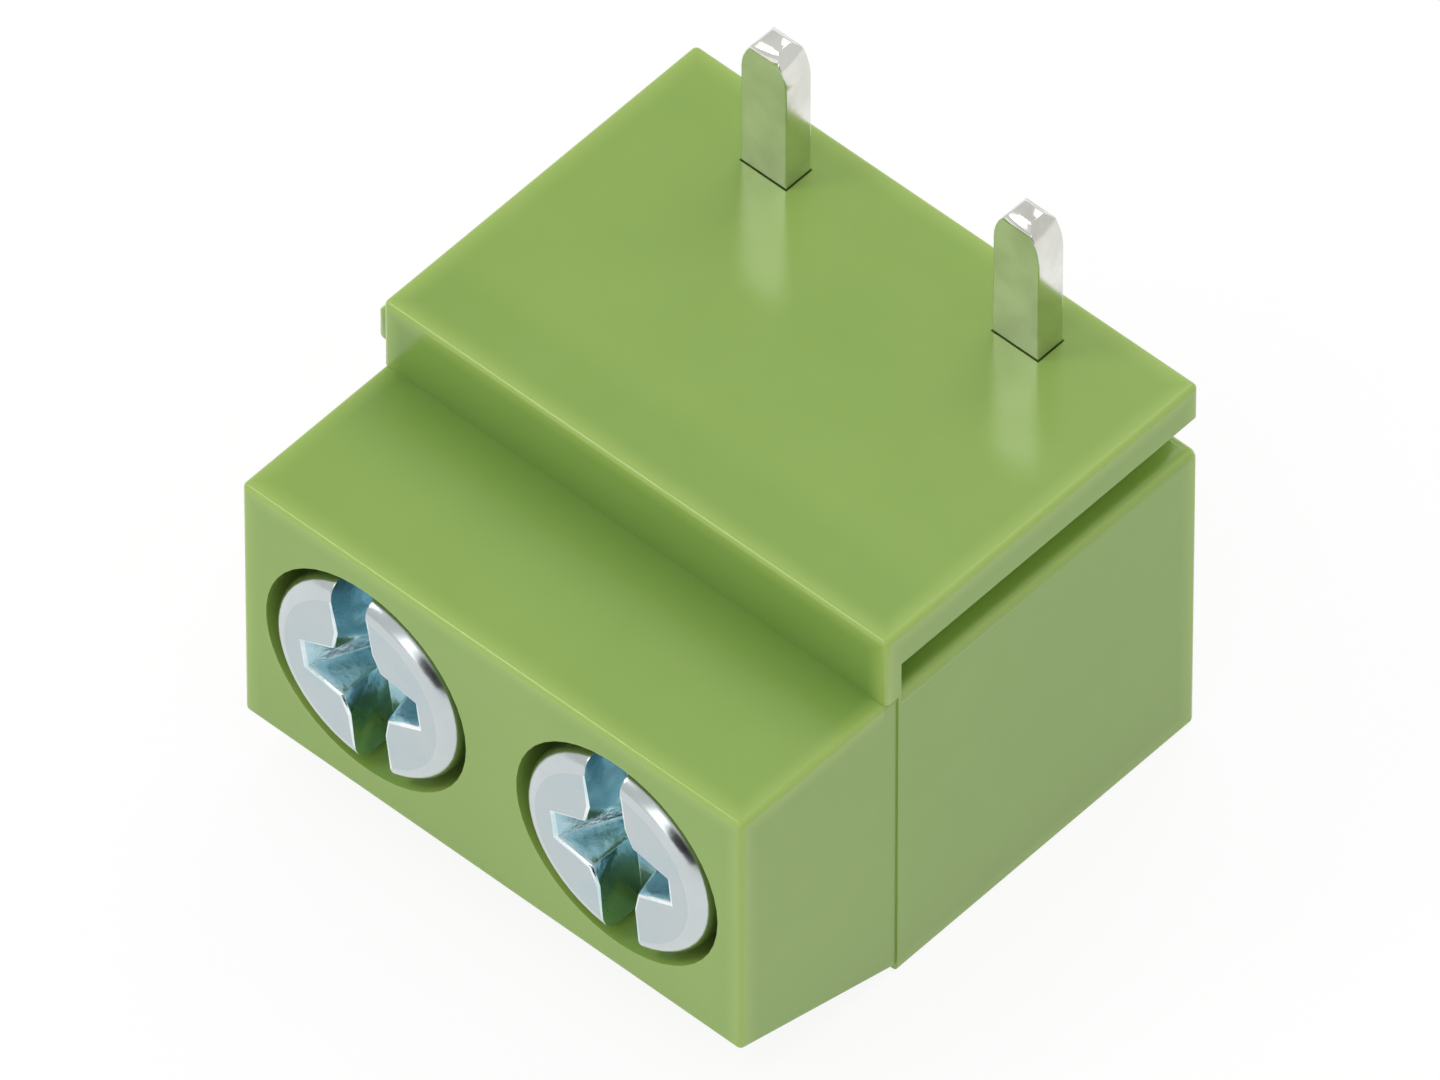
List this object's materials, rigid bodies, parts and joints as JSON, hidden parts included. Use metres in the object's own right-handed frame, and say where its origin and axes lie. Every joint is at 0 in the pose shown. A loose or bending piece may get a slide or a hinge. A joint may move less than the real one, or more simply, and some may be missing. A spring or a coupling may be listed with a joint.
{
  "type": "pcb terminal block",
  "caption": "Screw terminal block for a circuit board: moulded body, rising clamp cages drawn up by slotted cross-recess screws, straight solder pins, side joining keys.",
  "frame": {"origin": "middle of the moulding's square footprint, on the plane of the wire side that it stands on", "axes": "+Z from the wire side to the board side, along the solder pins; +X along the row of poles; +Y from the screw face to the plain rear face"},
  "size_m": [0.0104, 0.0101, 0.0104],
  "materials": {
    "green_plastic": "semi-gloss moulded",
    "tinned_strip": "bright tin plate",
    "plated_cage": "nickel plate",
    "zinc_screw": "bluish zinc plate"
  },
  "bodies": {
    "block": {"housing": "green_plastic", "contact_1": "tinned_strip", "contact_2": "tinned_strip"},
    "screw_1": {"clamp_screw_1": "zinc_screw"},
    "screw_2": {"clamp_screw_2": "zinc_screw"},
    "cage_1": {"clamp_cage_1": "plated_cage"},
    "cage_2": {"clamp_cage_2": "plated_cage"}
  },
  "joints": [
    {"name": "screw_1_turn", "type": "hinge", "parent": "block", "child": "screw_1", "pos_m": [-0.0025, -0.00512, 0.00366], "axis": [0, 1, 0], "range_deg": [0, 1280]},
    {"name": "screw_2_turn", "type": "hinge", "parent": "block", "child": "screw_2", "pos_m": [0.0025, -0.00512, 0.00366], "axis": [0, 1, 0], "range_deg": [0, 1280]},
    {"name": "cage_1_slide", "type": "slide", "parent": "block", "child": "cage_1", "axis": [0, -1, 0], "range_m": [0, 0.0016]},
    {"name": "cage_2_slide", "type": "slide", "parent": "block", "child": "cage_2", "axis": [0, -1, 0], "range_m": [0, 0.0016]}
  ],
  "couplings": [
    {"joint": "screw_1_turn", "follows": "cage_1_slide", "rad_per_m": 13963},
    {"joint": "screw_2_turn", "follows": "cage_2_slide", "rad_per_m": 13963}
  ]
}
